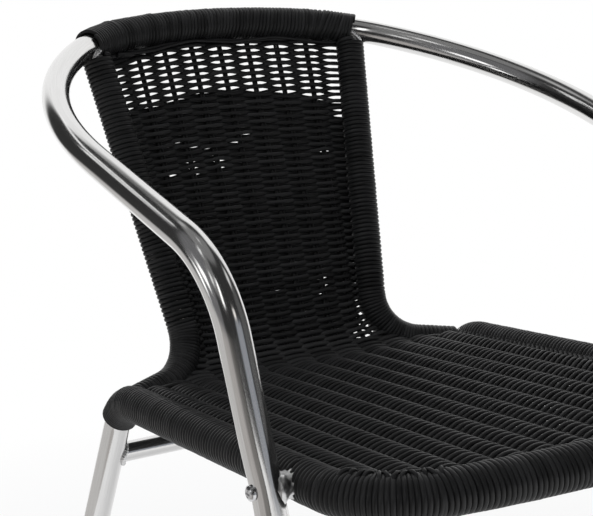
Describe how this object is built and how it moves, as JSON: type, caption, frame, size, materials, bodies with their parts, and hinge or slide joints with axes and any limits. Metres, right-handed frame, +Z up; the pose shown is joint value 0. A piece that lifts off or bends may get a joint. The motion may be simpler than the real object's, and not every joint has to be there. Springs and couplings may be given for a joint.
{
  "type": "rattan bistro armchair",
  "caption": "Stacking bistro armchair with a bent polished tube frame, one tube forming back rail, arms and front legs, and a black wicker back and seat woven over stakes.",
  "frame": {"origin": "on the floor, centred under the chair's overall box", "axes": "+Z up, the sitter faces -Y, +X is the chair's right as seen from its front"},
  "size_m": [0.5545, 0.6273, 0.7453],
  "materials": {
    "tube_metal": "polished",
    "weld_metal": "rough weld",
    "fastener_steel": "plated",
    "wicker": "satin",
    "glide_plastic": "matte"
  },
  "bodies": {
    "root": {"arm_tube": "tube_metal", "seat_tube": "tube_metal", "back_stile_left": "tube_metal", "stile_top_weld_left": "weld_metal", "stile_foot_weld_left": "weld_metal", "bar_weld_left": "weld_metal", "back_stile_right": "tube_metal", "stile_top_weld_right": "weld_metal", "stile_foot_weld_right": "weld_metal", "bar_weld_right": "weld_metal", "rear_cross_bar": "tube_metal", "leg_saddle_left": "weld_metal", "rivet_nut_left": "fastener_steel", "arm_screw_left": "fastener_steel", "leg_saddle_right": "weld_metal", "rivet_nut_right": "fastener_steel", "arm_screw_right": "fastener_steel", "front_glide_left": "glide_plastic", "rear_glide_left": "glide_plastic", "front_glide_right": "glide_plastic", "rear_glide_right": "glide_plastic", "top_wrap": "wicker", "rail_wrap_right": "wicker", "rail_wrap_left": "wicker", "corner_wrap_right": "wicker", "corner_wrap_left": "wicker", "front_wrap": "wicker", "stile_wrap_right": "wicker", "stile_wrap_left": "wicker", "stake_01": "wicker", "stake_02": "wicker", "stake_03": "wicker", "stake_04": "wicker", "stake_05": "wicker", "stake_06": "wicker", "stake_07": "wicker", "stake_08": "wicker", "stake_09": "wicker", "stake_10": "wicker", "stake_11": "wicker", "stake_12": "wicker", "stake_13": "wicker", "back_weave": "wicker", "seat_weave": "wicker", "tie_strand": "wicker"}
  },
  "joints": []
}
